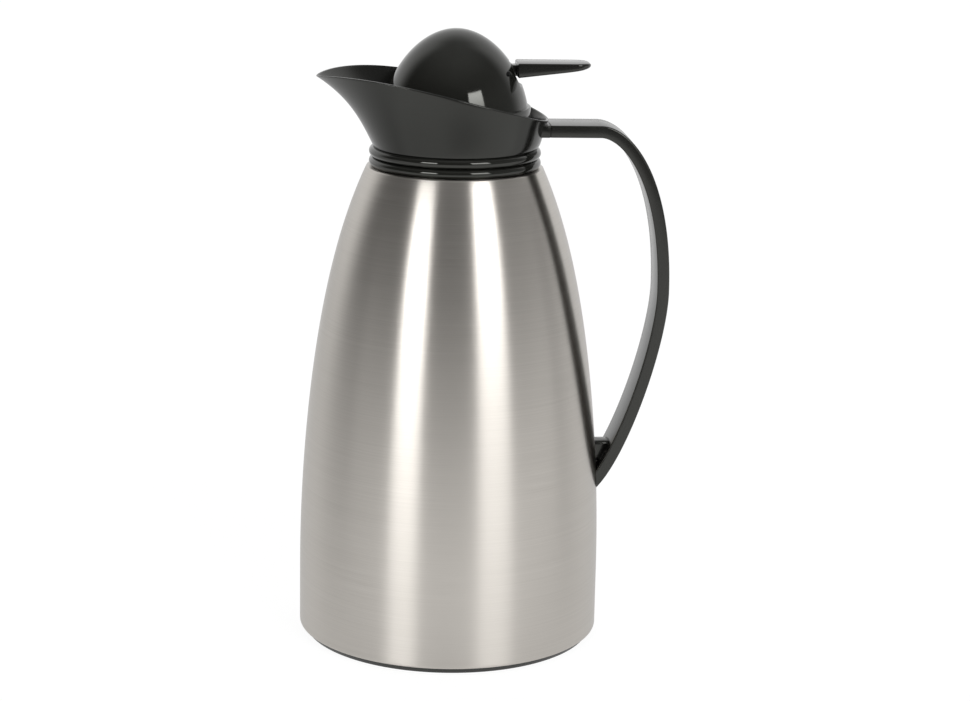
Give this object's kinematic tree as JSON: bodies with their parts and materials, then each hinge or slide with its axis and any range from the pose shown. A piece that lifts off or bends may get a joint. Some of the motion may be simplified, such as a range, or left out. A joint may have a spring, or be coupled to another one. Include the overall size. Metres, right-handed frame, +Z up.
{
  "type": "vacuum carafe",
  "caption": "Vacuum carafe with a brushed steel body over a silvered glass liner, a flared pouring collar, a strap handle, and a screw-in domed stopper whose valve opens with a thumb lever.",
  "frame": {"origin": "centre of the round base, on the surface that the carafe stands on", "axes": "+Z up along the body's axis; +X towards the handle, so the spout points along -X; +Y to the left of someone who looks from the handle to the spout's back"},
  "size_m": [0.1731, 0.1432, 0.2894],
  "materials": {
    "steel_body": "brushed round the body, satin",
    "base_black": "matt",
    "cushion_rubber": "matt",
    "silvered_glass": "silvered glass, polished",
    "silicone": "soft, matt",
    "gloss_black": "high gloss",
    "collar_grey": "satin, finely grained",
    "handle_black": "satin",
    "plain_steel": "plain drawn steel",
    "pin_black": "blackened steel",
    "plug_black": "matt",
    "lever_black": "satin gloss",
    "valve_grey": "matt"
  },
  "bodies": {
    "carafe": {"outer_shell": "steel_body", "base_ring": "base_black", "base_cap": "base_black", "liner_cushion": "cushion_rubber", "liner_outer_glass": "silvered_glass", "liner_inner_glass": "silvered_glass", "liner_pads": "cushion_rubber", "neck_gasket": "silicone", "neck_ring": "gloss_black", "collar": "collar_grey", "handle": "handle_black", "handle_screw": "plain_steel", "screw_washer": "plain_steel"},
    "stopper_carrier": {"stopper_seal": "silicone"},
    "stopper": {"stopper_plug": "plug_black", "stopper_dome": "gloss_black", "lever_pin": "pin_black", "return_spring": "plain_steel"},
    "lever": {"lever": "lever_black"},
    "valve": {"valve_disc": "valve_grey", "valve_gasket": "silicone", "valve_stem": "plain_steel", "stem_cap": "valve_grey"}
  },
  "joints": [
    {"name": "stopper_rise", "type": "slide", "parent": "carafe", "child": "stopper_carrier", "axis": [0, 0, 1], "range_m": [0, 0.0041]},
    {"name": "stopper_turn", "type": "hinge", "parent": "stopper_carrier", "child": "stopper", "pos_m": [0, 0, 0.2175], "axis": [0, 0, 1], "range_deg": [0, 120]},
    {"name": "lever_press", "type": "hinge", "parent": "stopper", "child": "lever", "pos_m": [0.0228, 0, 0.2705], "axis": [0, 1, 0], "range_deg": [0, 14], "stiffness_Nm_per_rad": 0.2, "springref_deg": -10.03},
    {"name": "valve_lift", "type": "slide", "parent": "stopper", "child": "valve", "axis": [0, 0, 1], "range_m": [0, 0.0056], "deforming": ["return_spring"]}
  ],
  "couplings": [
    {"joint": "stopper_rise", "follows": "stopper_turn", "m_per_rad": 0.0019099},
    {"joint": "valve_lift", "follows": "lever_press", "m_per_rad": 0.0228}
  ]
}
